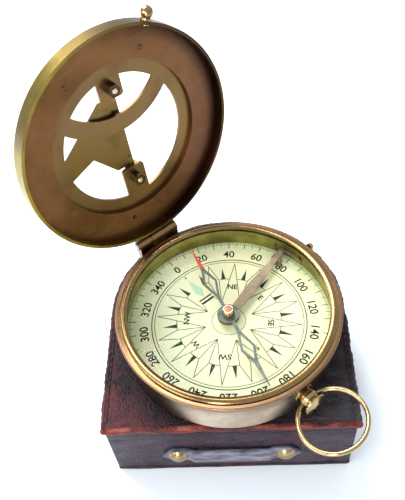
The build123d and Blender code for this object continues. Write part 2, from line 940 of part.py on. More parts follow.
def hour_plate_piece():
    """The outer plate: an open ring, two lugs on the noon line and the arc band across the opening."""
    low = lid.offset(plate_bottom)
    with BuildPart() as piece:
        with BuildSketch(low):
            Circle(arc_outer_clip)
            with Locations((0, -arc_centre)):
                Circle(arc_outer, mode=Mode.INTERSECT)
                Circle(arc_inner, mode=Mode.SUBTRACT)
            with Locations((0, (arc_inner - arc_centre) - 0.2)):
                Triangle(a=3.6, b=2.1, c=2.1, align=(Align.CENTER, Align.CENTER), rotation=180)
            with Locations((0, -(south_lug_end + hour_opening + 2) / 2)):
                RectangleRounded(2 * lug_half_width, hour_opening + 2 - south_lug_end, lug_corner)
            with Locations((0, (north_lug_end + hour_opening + 2) / 2)):
                RectangleRounded(2 * lug_half_width, hour_opening + 2 - north_lug_end, lug_corner)
        extrude(amount=hour_plate_thickness)
        with BuildSketch(low):
            Circle(lid_inner_radius - plate_play)
            Circle(hour_opening, mode=Mode.SUBTRACT)
        extrude(amount=hour_plate_thickness)
        for y in (-lug_screw_south, lug_screw_north):
            with Locations(place(lid, 0, y, plate_bottom)):
                Cylinder(screw_radius, 4 * hour_plate_thickness, mode=Mode.SUBTRACT)
        for spot in ring_rivet_spots():
            bore(Plane(spot), ring_rivet_radius)
    return piece


arc_outer_clip = hour_opening + 1.0


def ring_rivet_spots():
    """Where the ring plate is riveted to the hour plate."""
    return [place(lid, ring_rivet_reach, 0, ring_bottom, turn) for turn in ring_rivet_turns]


ring_rivet_turns = (-119.0, -65.0, 79.0, 100.0)


def ring_plate_piece():
    """The inner ring of the lid, which stiffens the hour plate."""
    with BuildPart() as piece:
        with BuildSketch(lid.offset(ring_bottom)):
            Circle(lid_inner_radius - plate_play)
            Circle(ring_opening, mode=Mode.SUBTRACT)
        extrude(amount=ring_thickness)
        for spot in ring_rivet_spots():
            bore(Plane(spot), ring_rivet_radius)
    return piece


def ring_rivets_piece():
    """Four rivets, flush on the outside and slightly domed on the inside of the lid."""
    with BuildPart() as piece:
        for spot in ring_rivet_spots():
            along = Plane(spot)
            revolve(
                profile(
                    section(along), (0, -0.3), (0.6 * ring_rivet_radius, -0.25), (ring_rivet_radius, -0.05),
                    (ring_rivet_radius, lid_top - ring_bottom), (0, lid_top - ring_bottom),
                ),
                axis=spin_axis(along),
            )
    return piece


def thumb_knob_piece():
    """A turned knob for lifting the lid: shank, collar, neck and ball."""
    seat = outward(lid, thumb_turn, lid_radius, thumb_height)
    reach = thumb_length
    with BuildPart() as piece:
        revolve(
            profile(
                section(seat), (0, reach - thumb_ball), (0, -lid_wall - 0.4),
                (1.7 * thumb_shank, -lid_wall - 0.4), (1.7 * thumb_shank, -lid_wall - 0.03),
                (thumb_shank, -lid_wall - 0.03), (thumb_shank, 0.03),
                (thumb_collar, 0.03), (thumb_collar, 0.6),
                (thumb_neck, 0.9), (thumb_neck, reach - thumb_ball),
            ),
            axis=spin_axis(seat),
        )
        with Locations(seat.location * Location((0, 0, reach - thumb_ball))):
            Sphere(thumb_ball)
    return piece


# ---------------------------------------------------------------- gnomon and its mountings
gnomon_south = -south_lug_end + gnomon_end_gap
gnomon_north = north_lug_end - gnomon_end_gap
pivot_line = lid.location * Location((gnomon_axis_x, 0, gnomon_height))


def gnomon_piece():
    """The style plate, folded flat over the lid; its base edge is rolled round the two pivot pins."""
    x = -gnomon_reach + gnomon_axis_x
    rise = (gnomon_reach - gnomon_shoulder) / tan(radians(style_angle))
    with BuildPart() as piece:
        extrude(
            profile(
                lid.offset(gnomon_height - gnomon_thickness / 2),
                (gnomon_axis_x + gnomon_heel, gnomon_south), (gnomon_axis_x - gnomon_shoulder, gnomon_south),
                (x, gnomon_south + rise), (x, gnomon_south + rise + gnomon_tip),
                (gnomon_axis_x - notch_reach, notch_y), (gnomon_axis_x - gnomon_toe, gnomon_north),
                (gnomon_axis_x + gnomon_heel, gnomon_north),
            ),
            gnomon_thickness,
        )
        for end, inward in ((gnomon_south, 1), (gnomon_north, -1)):
            with Locations(pivot_line * Location((0, end + inward * gnomon_pin_length / 2, 0), (90, 0, 0))):
                Cylinder(gnomon_barrel, gnomon_pin_length)
        with Locations(pivot_line * Location((0, 0, 0), (90, 0, 0))):
            Cylinder(gnomon_pin_radius + gnomon_pin_play, 60, mode=Mode.SUBTRACT)
    return piece


def gnomon_bracket_piece(screw_y, ear_y, outside):
    """A foot under the lug screw with an ear at the lug's end. `outside` points away from the gnomon."""
    with BuildPart() as piece:
        far = screw_y + outside * bracket_half_width
        with Locations(place(lid, 0, (far + ear_y) / 2, lid_top + bracket_plate / 2)):
            Box(2 * bracket_half_width, abs(far - ear_y), bracket_plate)
        ear_height = gnomon_lift + gnomon_barrel + 0.5
        ear_middle = ear_y + outside * bracket_ear / 2
        with Locations(place(lid, gnomon_axis_x / 2, ear_middle, lid_top + ear_height / 2)):
            Box(2 * bracket_half_width, bracket_ear, ear_height)
        with Locations(place(lid, 0, screw_y, lid_top)):
            Cylinder(screw_radius, 6, mode=Mode.SUBTRACT)
        with Locations(pivot_line * Location((0, ear_middle, 0), (90, 0, 0))):
            Cylinder(gnomon_pin_radius, 4 * bracket_ear, mode=Mode.SUBTRACT)
    return piece


def gnomon_pin_piece(gnomon_end, outside):
    """One pivot pin, tight in its bracket's ear and free in the gnomon."""
    start = gnomon_end - outside * (gnomon_pin_length - 0.4)
    stop = gnomon_end + outside * (gnomon_end_gap + bracket_ear + 0.1)
    with BuildPart() as piece:
        with Locations(pivot_line * Location((0, (start + stop) / 2, 0), (90, 0, 0))):
            Cylinder(gnomon_pin_radius, abs(stop - start))
    return piece


def lug_screw_piece(y):
    """A round-headed screw down through a bracket and the hour plate."""
    seat = Plane(place(lid, 0, y, lid_top + bracket_plate))
    end = -bracket_plate - hour_plate_thickness - nut_height - screw_end
    with BuildPart() as piece:
        revolve(
            profile(
                section(seat), (0, screw_head_height), (0.7 * screw_head_radius, screw_head_height),
                (screw_head_radius, 0.35 * screw_head_height), (screw_head_radius, 0),
                (screw_radius, 0), (screw_radius, end + 0.2), (screw_radius - 0.2, end), (0, end),
            ),
            axis=spin_axis(seat),
        )
        with Locations(seat.location * Location((0, 0, screw_head_height))):
            Box(4 * screw_head_radius, 0.35, 0.7, mode=Mode.SUBTRACT)
    return piece


def lug_nut_piece(y):
    """A hexagon nut on the inside of the lid."""
    with BuildPart() as piece:
        with BuildSketch(Plane(place(lid, 0, y, plate_bottom - nut_height))):
            RegularPolygon(nut_flats / 2, 6, major_radius=False)
            Circle(screw_radius, mode=Mode.SUBTRACT)
        extrude(amount=nut_height)
    return piece


# ---------------------------------------------------------------- every node
finish(base_board_piece(), "wrap_base")
finish(gusset_piece(), "wrap_gusset")
finish(spine_piece(), "wrap_spine")
finish(cover_board_piece(), "wrap_cover")
finish(carry_loop_piece(), "carry_loop")
finish(loop_rivets_piece(), "loop_rivets")

finish(drum_piece(), "drum")
finish(dial_spacer_piece(), "dial_spacer")
finish(dial_disc_piece(dial_height - dial_plate_thickness, dial_plate_thickness), "dial_plate")
finish(dial_disc_piece(dial_height, card_thickness), "dial_card")
finish(wall_liner_piece(), "wall_liner")
finish(glass_piece(), "glass")
finish(bezel_piece(), "bezel")
finish(pivot_post_piece(), "pivot_post")
finish(needle_piece(), "needle")
finish(needle_cap_piece(), "needle_cap")
finish(cap_jewel_piece(), "cap_jewel")
finish(arrest_lever_piece(), "arrest_lever")
finish(fulcrum_bracket_piece(), "fulcrum_bracket")
finish(fulcrum_pin_piece(), "fulcrum_pin")
finish(arrest_button_piece(), "arrest_button")
finish(pendant_piece(), "pendant")
finish(bow_ring_piece(), "bow_ring")

finish(case_leaf_piece(), "case_leaf")
finish(
    leaf_fixings_piece(
        leaf_screw_spots(), case_screw_spread, drum_radius, drum_wall, case_leaf_thickness, leaf_screw_head
    ),
    "case_leaf_screws",
)
finish(hinge_pin_piece(), "hinge_pin")
finish(lid_leaf_piece(), "lid_leaf")
finish(
    leaf_fixings_piece(
        lid_rivet_spots(), lid_rivet_spread, lid_radius, lid_wall, lid_leaf_thickness, 0
    ),
    "lid_leaf_rivets",
)
finish(lid_rim_piece(), "lid_rim")
finish(hour_plate_piece(), "hour_plate")
finish(ring_plate_piece(), "ring_plate")
finish(ring_rivets_piece(), "ring_rivets")
finish(thumb_knob_piece(), "thumb_knob")

finish(gnomon_piece(), "gnomon")
finish(gnomon_bracket_piece(-lug_screw_south, -south_lug_end, -1), "gnomon_bracket_south")
finish(gnomon_bracket_piece(lug_screw_north, north_lug_end, 1), "gnomon_bracket_north")
finish(gnomon_pin_piece(gnomon_south, -1), "gnomon_pin_south")
finish(gnomon_pin_piece(gnomon_north, 1), "gnomon_pin_north")
finish(lug_screw_piece(-lug_screw_south), "lug_screw_south")
finish(lug_screw_piece(lug_screw_north), "lug_screw_north")
finish(lug_nut_piece(-lug_screw_south), "lug_nut_south")
finish(lug_nut_piece(lug_screw_north), "lug_nut_north")
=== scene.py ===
import math

import bpy
from mathutils import Matrix, Vector, noise


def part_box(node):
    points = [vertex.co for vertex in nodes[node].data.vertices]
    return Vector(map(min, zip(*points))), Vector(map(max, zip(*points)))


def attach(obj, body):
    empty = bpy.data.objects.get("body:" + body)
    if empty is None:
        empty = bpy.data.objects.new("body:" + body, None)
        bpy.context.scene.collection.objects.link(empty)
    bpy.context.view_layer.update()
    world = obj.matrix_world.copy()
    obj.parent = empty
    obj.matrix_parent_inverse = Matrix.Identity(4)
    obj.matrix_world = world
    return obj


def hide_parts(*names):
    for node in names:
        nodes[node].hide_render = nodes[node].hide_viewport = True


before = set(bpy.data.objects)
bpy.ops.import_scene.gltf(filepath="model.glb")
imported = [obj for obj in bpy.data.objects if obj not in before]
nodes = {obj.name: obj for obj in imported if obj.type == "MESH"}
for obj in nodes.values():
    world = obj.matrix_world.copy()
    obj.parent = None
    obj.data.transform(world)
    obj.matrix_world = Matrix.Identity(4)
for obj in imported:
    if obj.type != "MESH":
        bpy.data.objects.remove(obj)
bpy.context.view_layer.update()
MM = 0.001


# ---------------------------------------------------------------- Base board
# The floor of the carrying case: stiff board wrapped in burgundy calf, glued and sewn to the wall above it.
# The leather has darkened with handling, so its colour runs from wine red through purple to black.
class Sum:
    """A shader socket that takes part in arithmetic."""

    def __init__(self, look, socket):
        self.look = look
        self.socket = socket

    def call(self, operation, *others, clamp=False):
        return self.look.maths(operation, self, *others, clamp=clamp)

    def __add__(self, other):
        return self.call("ADD", other)

    __radd__ = __add__

    def __mul__(self, other):
        return self.call("MULTIPLY", other)

    __rmul__ = __mul__

    def __sub__(self, other):
        return self.call("SUBTRACT", other)

    def __rsub__(self, other):
        return self.look.maths("SUBTRACT", other, self)

    def __lt__(self, other):
        return self.call("LESS_THAN", other)

    def __gt__(self, other):
        return self.call("GREATER_THAN", other)

    def ramp(self, low, high):
        """0 at low, 1 at high, straight between and level beyond; low may be the larger."""
        return (self - low).call("MULTIPLY", 1.0 / (high - low), clamp=True)


def length(first, *others):
    """How long a line with these parts is."""
    squares = first * first
    for part in others:
        squares += part * part
    return squares.call("SQRT")


class Look:
    """One node material, with every node added through one method. Lengths are in millimetres."""

    def __init__(self, name, **constants):
        self.material = bpy.data.materials.new(name)
        self.material.use_nodes = True
        self.tree = self.material.node_tree
        self.shader = self.tree.nodes["Principled BSDF"]
        for key, value in constants.items():
            self.shader.inputs[key.replace("_", " ")].default_value = value
        self.place = self.add("ShaderNodeTexCoord").outputs["Object"]
        axes = self.add("ShaderNodeSeparateXYZ", Vector=self.place).outputs
        self.x, self.y, self.z = (Sum(self, axis) * (1 / MM) for axis in axes)

    def add(self, kind, **settings):
        node = self.tree.nodes.new(kind)
        for key, value in settings.items():
            if key in node.inputs:
                self.feed(node.inputs[key], value)
            else:
                setattr(node, key, value)
        return node

    def feed(self, slot, value):
        if isinstance(value, Sum):
            value = value.socket
        if isinstance(value, bpy.types.NodeSocket):
            self.tree.links.new(value, slot)
        elif isinstance(value, tuple) and slot.type == "RGBA":
            slot.default_value = (*value, 1.0)
        else:
            slot.default_value = value

    def maths(self, operation, *values, clamp=False):
        node = self.add("ShaderNodeMath", operation=operation, use_clamp=clamp)
        for slot, value in zip(node.inputs, values):
            self.feed(slot, value)
        return Sum(self, node.outputs[0])

    def noise(self, size, detail=3.0, rough=0.55, stretch=(1, 1, 1)):
        """Cloudy noise from 0 to 1 whose blotches are about `size` millimetres across."""
        spread = self.add("ShaderNodeVectorMath", operation="MULTIPLY")
        self.feed(spread.inputs[0], self.place)
        spread.inputs[1].default_value = stretch
        node = self.add(
            "ShaderNodeTexNoise",
            Vector=spread.outputs[0],
            Scale=1 / (size * MM),
            Detail=detail,
            Roughness=rough,
        )
        return Sum(self, node.outputs["Fac"])

    def cells(self, size):
        """Pebbles about `size` millimetres across: 0 at the middle of each, rising towards its edge."""
        node = self.add("ShaderNodeTexVoronoi", Vector=self.place, Scale=1 / (size * MM))
        return Sum(self, node.outputs["Distance"])

    def mix(self, amount, low, high):
        """A colour: low where the amount is 0, high where it is 1."""
        node = self.add("ShaderNodeMix", data_type="RGBA")
        self.feed(node.inputs[0], amount)
        self.feed(node.inputs[6], low)
        self.feed(node.inputs[7], high)
        return node.outputs[2]

    def finish(self, colour, roughness=None, height=None, depth=0.05, metallic=None, alpha=None):
        """Connects the surface: colour, roughness, relief of `depth` millimetres, metallic and alpha."""
        given = {"Base Color": colour, "Roughness": roughness, "Metallic": metallic, "Alpha": alpha}
        for name, value in given.items():
            if value is not None:
                self.feed(self.shader.inputs[name], value)
        if height is not None:
            bump = self.add("ShaderNodeBump", Height=height, Distance=depth * MM)
            self.feed(self.shader.inputs["Normal"], bump.outputs["Normal"])
        return self.material


grain_depth = 0.30
handled_black = (0.006, 0.005, 0.007)


def leather(name, low, high, red, wear_and_shade=None):
    """Aniline calf: mottled, blackened in patches, pebbled; the last argument adds worn colours and painted
    light and shade to it.
    """
    look = Look(name, Specular_IOR_Level=0.2)
    cloud = look.noise(20, 5.0, 0.62)
    blotch = look.noise(6.5, 4.0, 0.62)
    colour = look.mix(cloud.ramp(0.38, 0.62), low, high)
    colour = look.mix(blotch.ramp(0.52, 0.66) * 0.7, colour, red)
    colour = look.mix(blotch.ramp(0.47, 0.36) * 0.8, colour, handled_black)
    if wear_and_shade:
        colour = wear_and_shade(look, colour, blotch)
    pebbles = look.cells(0.8) + look.noise(0.35, 2.0) * 0.7 + cloud * 1.2
    return look.finish(colour, 0.28 + blotch * 0.30, pebbles, grain_depth)


def soft_copy(node, voxel, rounding, move, look):
    """Leather over board in the shape of a CAD piece: an even mesh, rounded, then pushed about by `move`."""
    piece = bpy.data.objects.new(f"{node}_leather", nodes[node].data.copy())
    bpy.context.collection.objects.link(piece)
    bpy.context.view_layer.objects.active = piece
    piece.modifiers.new("weld", "WELD").merge_threshold = 0.01 * MM
    even = piece.modifiers.new("even", "REMESH")
    even.mode = "VOXEL"
    even.voxel_size = voxel * MM
    rounded = piece.modifiers.new("rounded", "SMOOTH")
    rounded.iterations = rounding
    for name in ("weld", "even", "rounded"):
        bpy.ops.object.modifier_apply(modifier=name)
    moved = [move(vertex.co / MM, vertex.normal) * MM for vertex in piece.data.vertices]
    for vertex, place in zip(piece.data.vertices, moved):
        vertex.co = place
    piece.data.shade_smooth()
    piece.data.materials.clear()
    piece.data.materials.append(look)
    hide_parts(node)
    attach(piece, "carrying_case")


def wobble(point, size, depth):
    """A smooth uneven push of up to about `depth`, with waves `size` long."""
    return depth * noise.noise(point / size)


drawn_in = 0.12


def dented(point, normal):
    """Pulled tight over the board, with shallow dents."""
    return point - normal * (drawn_in + wobble(point, size=9, depth=0.2))


calf = leather("dark calf", low=(0.011, 0.007, 0.010), high=(0.042, 0.015, 0.024), red=(0.075, 0.015, 0.017))
soft_copy("wrap_base", voxel=0.9, rounding=2, move=dented, look=calf)

# ---------------------------------------------------------------- Side wall
# One strip of the same calf, bent round the sides and the round end and sewn to both boards. It bulges a
# little between its two seams and is creased all round.
wall_low, wall_high = (corner[2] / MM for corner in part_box("wrap_gusset"))
seam_heights = (0.07, 0.93)
seam_width = 0.03
seam_depth = 0.35
bulge = 0.25
wall_drawn_in = 0.45


def bell(distance, width, power=2):
    """1 at no distance, falling smoothly to next to nothing past `width`; a high power squares it off."""
    return math.exp(-((distance / width) ** power))


def bulged(point, normal):
    """Full between its two seams, pinched at each, and creased up and down."""
    outward = Vector((normal.x, normal.y, 0))
    up = (point.z - wall_low) / (wall_high - wall_low)
    seams = sum(bell(up - height, seam_width) for height in seam_heights)
    creases = wobble(Vector((point.x, point.y, point.z * 0.35)), size=4.5, depth=0.35)
    return point + outward * (bulge * math.sin(math.pi * up) - wall_drawn_in - seam_depth * seams + creases)


soft_copy("wrap_gusset", voxel=0.8, rounding=2, move=bulged, look=calf)

# ---------------------------------------------------------------- Spine
# The straight front wall: smooth calf over board, rubbed until it shows slate and lilac through the wine.
# It dips along a fold above the strap, where the cover's weight presses it; above the fold the cover's
# shadow is painted in black.
fold_height = 26.5
fold_width = 1.1
fold_depth = 0.3
fold_tilt = 0.02
slate_lilac = (0.070, 0.054, 0.082)
painted_shadow_under_cover = (0.004, 0.003, 0.005)


def middle(node):
    """The middle of a node's box, in millimetres."""
    return [(low + high) / 2 / MM for low, high in zip(*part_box(node))]


strap_height = middle("carry_loop")[2]


def rubbed(look, colour, blotch):
    """Slate and lilac where the finish is rubbed off, and a painted shadow in black above the fold, under
    the cover's edge.
    """
    rub = look.noise(3.0, 5.0, 0.7, (0.35, 1, 1.3))
    colour = look.mix(rub.ramp(0.48, 0.70) * 0.55, colour, slate_lilac)
    # Painted shadow: black above the fold, where the cover's edge shades the spine.
    return look.mix(look.z.ramp(fold_height - 1.0, fold_height + 3.5) * 0.85, colour, painted_shadow_under_cover)


def pressed(point, normal):
    """Pushed in only, and not at all round the strap, so that it and its rivets stay on the surface."""
    fold = bell(point.z - fold_height - fold_tilt * point.x, fold_width)
    push = 0.08 + fold_depth * fold + abs(wobble(point, size=7, depth=0.35))
    near_strap = bell(point.z - strap_height, width=6.0, power=4) * bell(point.x, width=27.0, power=8)
    return point + Vector((0, push * (1 - near_strap), 0)) * max(0.0, -normal.y)


spine_calf = leather(
    "rubbed calf",
    low=(0.014, 0.010, 0.015),
    high=(0.042, 0.025, 0.040),
    red=(0.050, 0.016, 0.024),
    wear_and_shade=rubbed,
)
soft_copy("wrap_spine", voxel=0.55, rounding=2, move=pressed, look=spine_calf)

# ---------------------------------------------------------------- Cover board
# The lid of the carrying case: calf over board, its front edge rolled and worn through to red, its sides
# sewn down in a puckered groove. Round the drum a shadow is painted in black, with a painted grey sheen at
# the front right and a painted highlight on the crest of the rolled edge.
cover_low, cover_high = ([c / MM for c in corner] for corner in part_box("wrap_cover"))
half_width = cover_high[0]
arc_middle = cover_high[1] - half_width
groove = 2.3
groove_half = 0.7
stitch = 2.6
rolled_edge = 2.0
front_crease = 2.4
drum_seat = 38.0
seat_fade = 3.0
wine = (0.115, 0.026, 0.031)
painted_shadow_black = (0.005, 0.004, 0.006)
painted_sheen_grey = (0.060, 0.070, 0.072)
worn_red = (0.15, 0.014, 0.009)
painted_crest_highlight = (0.42, 0.15, 0.10)
stand = middle("drum")


def along_edge(x, y):
    """How far a point is inside the cover's sewn edge, and how far along that edge it is."""
    if y < arc_middle:
        return half_width - abs(x), y
    angle = math.atan2(y - arc_middle, x)
    return half_width - math.hypot(x, y - arc_middle), arc_middle + angle * half_width


def sewn(point, normal):
    """Puckered along the seam, rounded at the edges, dented on top, and flat under the drum, clear of it."""
    inside_by, along = along_edge(point.x, point.y)
    edge = max(0.0, 1 - inside_by / rolled_edge)
    pull = 0.62 + 0.22 * math.cos(2 * math.pi * along / stitch)
    sink = pull * bell(inside_by - groove, groove_half)
    sink += 0.35 * edge**2 + 0.25 * bell(point.y - cover_low[1] - front_crease, width=0.5)
    from_drum = math.hypot(point.x - stand[0], point.y - stand[1]) - drum_seat
    free = min(1.0, max(0.0, from_drum / seat_fade))
    dents = abs(wobble(point, size=11, depth=0.5)) + abs(wobble(point, size=3.5, depth=0.22))
    sink += free * (drawn_in + dents)
    side = wobble(point, size=4, depth=0.4) - 0.25 + edge * 0.1 * math.cos(along * 2.4)
    moved = point + Vector((normal.x, normal.y, 0)) * side - Vector((0, 0, sink * max(0.0, normal.z)))
    if free < 1.0:
        moved.z = min(moved.z, cover_high[2] - 0.04)
    return moved


def worn_edge(look, colour, blotch):
    """Wine left, painted shadow round the drum, painted grey sheen front right, worn red front edge, painted
    highlight on its crest.
    """
    streak = look.noise(4.0, 4.0, 0.65, (0.4, 1, 1))
    left = look.x.ramp(8.0, -34.0) * look.y.ramp(46.0, 10.0)
    colour = look.mix(left * blotch.ramp(0.35, 0.6) * 0.75, colour, wine)
    from_drum = length(look.x - stand[0], look.y - stand[1])
    # Painted contact shadow: black round the foot of the drum.
    colour = look.mix(from_drum.ramp(drum_seat + 12.0, drum_seat) * 0.85, colour, painted_shadow_black)
    # Painted sheen: cool grey streaks at the front right.
    painted_sheen = look.x.ramp(12.0, 30.0) * look.y.ramp(-8.0, -30.0) * streak.ramp(0.42, 0.6)
    colour = look.mix(painted_sheen * 0.5, colour, painted_sheen_grey)
    front = look.y.ramp(cover_low[1] + 2.2, cover_low[1] + 1.4)
    colour = look.mix(front * (streak.ramp(0.40, 0.54) * 0.8 + 0.1), colour, worn_red)
    # Painted highlight: a pale line along the crest of the rolled front edge.
    crest_highlight_mask = front * look.z.ramp(cover_high[2] - 0.9, cover_high[2] - 0.4) * streak.ramp(0.5, 0.62)
    return look.mix(crest_highlight_mask * 0.45, colour, painted_crest_highlight)


cover_calf = leather(
    "cover calf",
    low=(0.009, 0.006, 0.009),
    high=(0.052, 0.017, 0.027),
    red=(0.10, 0.019, 0.022),
    wear_and_shade=worn_edge,
)
soft_copy("wrap_cover", voxel=0.62, rounding=3, move=sewn, look=cover_calf)

# ---------------------------------------------------------------- Cover stitching
# Waxed linen thread sewn through the cover and the wall's turned edge, lying in the groove. Each stitch is
# a rounded length of thread that dives into the leather at both ends.
thread = Look("waxed thread")
twist = (thread.x * 9 + thread.y * 9 + thread.z * 5).call("SINE")
thread_colour = thread.mix(thread.noise(1.2).ramp(0.4, 0.6), (0.012, 0.007, 0.008), (0.05, 0.02, 0.02))
thread.finish(thread_colour, 0.5, twist, 0.04)
thread_radius = 0.3
thread_depth = 0.5
first_stitch = 2.6
seam_half = half_width - groove
round_stitches = round(math.pi * seam_half / stitch)
straight_stitches = round((arc_middle - cover_low[1] - first_stitch) / stitch)
seam = [(seam_half, arc_middle - stitch * k) for k in range(straight_stitches, 0, -1)]
for k in range(round_stitches + 1):
    angle = math.pi * k / round_stitches
    seam.append((seam_half * math.cos(angle), arc_middle + seam_half * math.sin(angle)))
seam += [(-seam_half, arc_middle - stitch * k) for k in range(1, straight_stitches + 1)]
stitches = []
for (x0, y0), (x1, y1) in zip(seam[:-1], seam[1:]):
    bpy.ops.mesh.primitive_uv_sphere_add(
        segments=12,
        ring_count=8,
        radius=1.0,
        location=((x0 + x1) / 2 * MM, (y0 + y1) / 2 * MM, (cover_high[2] - thread_depth) * MM),
        rotation=(0, 0, math.atan2(y1 - y0, x1 - x0)),
        scale=(0.42 * stitch * MM, thread_radius * MM, thread_radius * MM),
    )
    stitches.append(bpy.context.object)


def join(name, pieces, look):
    """One named piece, at the origin, of several that are alike."""
    bpy.ops.object.select_all(action="DESELECT")
    for piece in pieces:
        piece.select_set(True)
    bpy.context.view_layer.objects.active = pieces[-1]
    bpy.ops.object.join()
    bpy.ops.object.transform_apply(location=True, rotation=True, scale=True)
    whole = bpy.context.object
    whole.name = name
    whole.data.materials.append(look)
    return whole


cover_stitches = join("cover_stitches", stitches, thread.material)
cover_stitches.data.shade_smooth()
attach(cover_stitches, "carrying_case")

# ---------------------------------------------------------------- Carry loop
# A strap of split hide with cut points, held to the spine by two rivets and standing a little clear between
# them. Its finish has rubbed off along the grain, so it has faded to slate and lilac.
strap = Look("faded strap")
grain = strap.noise(2.2, 4.0, 0.6, (0.35, 1, 1))
lines = (strap.z * 7 + grain * 9.0).call("SINE")
strap_colour = strap.mix(grain.ramp(0.36, 0.62), (0.050, 0.046, 0.060), (0.17, 0.17, 0.215))
lower_edge = strap.z.ramp(strap_height - 2.6, strap_height - 3.8)
strap_colour = strap.mix(lower_edge * 0.8, strap_colour, (0.10, 0.065, 0.06))
strap.finish(strap_colour, 0.5 + grain * 0.2, lines * 0.4 + grain * 2.0, 0.14)


def worn_flat(point, normal):
    """Hardly dented: the strap is thin and hard."""
    return point - normal * (0.04 + abs(wobble(point, size=6, depth=0.10)))


soft_copy("carry_loop", voxel=0.36, rounding=2, move=worn_flat, look=strap.material)

# ---------------------------------------------------------------- Loop rivets
# Domed brass heads on shanks that are clenched inside the spine, rubbed bright and browned in patches.
sharp_edge = math.radians(32)
along_z = (1, 1, 0.3)


def dress(look, *names):
    """Gives CAD nodes a look and smooth shading across their shallow edges."""
    for name in names:
        piece = nodes[name]
        bpy.ops.object.select_all(action="DESELECT")
        piece.select_set(True)
        bpy.context.view_layer.objects.active = piece
        bpy.ops.object.shade_smooth_by_angle(angle=sharp_edge)
        piece.data.materials.clear()
        piece.data.materials.append(look)


def brass(name, bright, brown, polish=0.5, rough=0.30, size=16.0):
    """Old brass, finely scratched: a bright tone shows through a brown one; `polish` is the bright share."""
    look = Look(name, Metallic=1.0)
    cloud = look.noise(size, 4.0, 0.55)
    fine = look.noise(0.5, 2.0, 0.5, along_z)
    colour = look.mix(cloud.ramp(0.62 - polish * 0.3, 0.42 - polish * 0.3), bright, brown)
    return look.finish(colour, cloud * 0.14 + fine * 0.10 + (rough - 0.12), fine + cloud * 0.8, 0.012)


rivet_brass = brass("rivet brass", (0.34, 0.25, 0.13), (0.12, 0.075, 0.03), 0.5, 0.26, 4.0)
dress(rivet_brass, "loop_rivets")

# ---------------------------------------------------------------- Drum
# A spun brass cup with a turned lip, once lacquered. Its pale front band is a painted highlight, and the
# sides, the back and a band under the lip are painted dark as shade.
lip_foot = cover_high[2] + 14.6
shell = Look("drum brass", Metallic=1.0)
shell_cloud = shell.noise(14, 4.0, 0.6)
painted_shade_under_lip = shell.z.ramp(lip_foot - 5.6, lip_foot - 0.2) * shell.z.ramp(lip_foot + 0.2, lip_foot)
shell_colour = shell.mix(shell_cloud.ramp(0.40, 0.62), (0.66, 0.56, 0.44), (0.44, 0.34, 0.24))
# Painted highlight and shade: only the front band stays pale; the sides and back are painted dark.
painted_shade_off_highlight = (shell.x - 2.0).call("ABSOLUTE").ramp(11.0, 24.0).call("MAXIMUM", shell.y.ramp(-38.0, -26.0))
shell_colour = shell.mix(painted_shade_off_highlight * 0.92, shell_colour, (0.085, 0.042, 0.020))
shell_colour = shell.mix((shell.z > lip_foot) * 0.9, shell_colour, (0.24, 0.135, 0.065))
# Painted shade: a dark band under the overhang of the lip.
shell_colour = shell.mix(painted_shade_under_lip * 0.6, shell_colour, (0.06, 0.028, 0.012))
lathe_marks = (shell.z * 11).call("SINE") + shell.noise(0.6, 2.0) * 1.5
shell.finish(shell_colour, 0.20 + shell_cloud * 0.2, lathe_marks, 0.006)
dress(shell.material, "drum")

# ---------------------------------------------------------------- Dial spacer and dial plate
# A ring and a disc of sheet brass under the card, out of the light and dull.
dull_brass = brass("dull brass", (0.30, 0.21, 0.09), (0.12, 0.08, 0.04), 0.4, 0.42)
dress(dull_brass, "dial_spacer", "dial_plate")

# ---------------------------------------------------------------- Dial card
# Paper printed in black on cream and glued to the plate. Circles, ticks and the eight-point star come from
# radius and bearing about the middle of the card; its north points at the lid hinge.
north_turn = math.radians(38.7)
hub_ring = 5.8
star_root = 8.3
star_knee = 17.9
wedge_ring = 18.0
wedge_tip = 23.0
star_tip = 25.0
fine_ring = 25.7
bold_ring = 26.7
tick_end = 35.1
dart_heel = 13.4
dart_shoulder = 16.5
dart_tip = 23.0
ink_black = (0.008, 0.012, 0.008)
RADIAN = math.pi / 180

card = Look("printed card", Specular_IOR_Level=0.05)
east = (card.x - stand[0]) * math.cos(north_turn) + (card.y - stand[1]) * math.sin(north_turn)
north = (card.y - stand[1]) * math.cos(north_turn) - (card.x - stand[0]) * math.sin(north_turn)
radius = length(east, north)
bearing = east.call("ARCTAN2", north) * (180 / math.pi) + 360


def line(distance, width=0.23):
    """1 on a printed line, 0 off it, from the distance to its middle."""
    return distance.call("ABSOLUTE").ramp(width / 2 + 0.05, width / 2 - 0.03)


def between(value, low, high):
    """1 where the value lies between low and high, 0 elsewhere."""
    return (value > low) * (value < high)


def off_multiple(step):
    """Degrees to the nearest multiple of `step`."""
    return (bearing + step / 2).call("MODULO", step) - step / 2


def slant(along, across, start, degrees):
    """The distance from a straight line that leaves an axis at `start`, turned inwards by `degrees`."""
    turn = math.radians(degrees)
    return (along - start) * math.sin(turn) + across * math.cos(turn)


